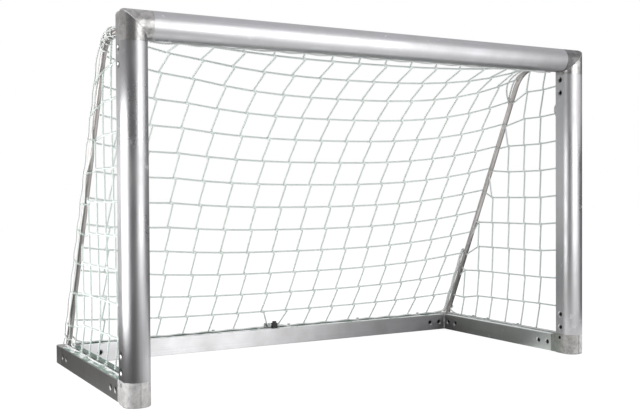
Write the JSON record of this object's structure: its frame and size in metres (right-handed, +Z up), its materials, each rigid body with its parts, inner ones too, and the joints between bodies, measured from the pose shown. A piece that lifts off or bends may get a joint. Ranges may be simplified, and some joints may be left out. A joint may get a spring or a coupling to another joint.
{
  "type": "mini soccer goal",
  "caption": "Mini soccer goal: oval aluminium posts and crossbar with cast corners, a square ground frame, bent stays and a square-mesh net drawn tight through a sprung cord lock.",
  "frame": {"origin": "middle of the footprint, on the ground under the goal", "axes": "+X along the crossbar, to the right hand of someone who stands in front and faces the goal; +Y to the back of the goal; +Z up"},
  "size_m": [2.018, 0.965, 1.294],
  "materials": {
    "aluminium": "satin extruded profile, scuffed outdoors",
    "casting": "weathered sand casting, mottled grey",
    "bar": "satin extruded bar, weathered",
    "stay": "drawn tube, dull",
    "steel": "stainless, machined",
    "cord": "twisted polyethylene cord, pale greenish grey",
    "clip": "moulded, greenish grey",
    "black": "moulded, fine texture"
  },
  "bodies": {
    "goal_frame": {"cord_lock_body": "black", "cord_lock_spring": "steel", "crossbar": "aluminium", "crossbar_screw_left_1": "steel", "crossbar_screw_left_2": "steel", "crossbar_screw_right_1": "steel", "crossbar_screw_right_2": "steel", "draw_cord": "cord", "foot_bolt_left_1": "steel", "foot_bolt_left_2": "steel", "foot_bolt_right_1": "steel", "foot_bolt_right_2": "steel", "foot_left": "casting", "foot_right": "casting", "left_post": "aluminium", "neck_bolt_left_1": "steel", "neck_bolt_left_2": "steel", "neck_bolt_right_1": "steel", "neck_bolt_right_2": "steel", "net_back": "cord", "net_left": "cord", "net_right": "cord", "post_bolt_left_1": "steel", "post_bolt_left_2": "steel", "post_bolt_right_1": "steel", "post_bolt_right_2": "steel", "rear_bar": "bar", "rear_bar_screw_left_1": "steel", "rear_bar_screw_left_2": "steel", "rear_bar_screw_right_1": "steel", "rear_bar_screw_right_2": "steel", "rear_clip_1": "clip", "rear_clip_2": "clip", "rear_clip_3": "clip", "rear_clip_4": "clip", "rear_clip_5": "clip", "rear_corner_left": "casting", "rear_corner_right": "casting", "right_post": "aluminium", "side_bar_bolt_left_1": "steel", "side_bar_bolt_left_2": "steel", "side_bar_bolt_right_1": "steel", "side_bar_bolt_right_2": "steel", "side_bar_left": "bar", "side_bar_right": "bar", "side_clip_left_1": "clip", "side_clip_left_2": "clip", "side_clip_left_3": "clip", "side_clip_right_1": "clip", "side_clip_right_2": "clip", "side_clip_right_3": "clip", "stay_grub_screw_foot_left": "steel", "stay_grub_screw_foot_right": "steel", "stay_grub_screw_top_left": "steel", "stay_grub_screw_top_right": "steel", "stay_left": "stay", "stay_right": "stay", "top_corner_left": "casting", "top_corner_right": "casting"},
    "lock_button": {"cord_lock_button": "black"}
  },
  "joints": [
    {"name": "cord_lock_press", "type": "slide", "parent": "goal_frame", "child": "lock_button", "axis": [0, 0, -1], "range_m": [0, 0.005], "stiffness_N_per_m": 600, "springref_m": -0.005, "deforming": ["cord_lock_spring"]}
  ]
}
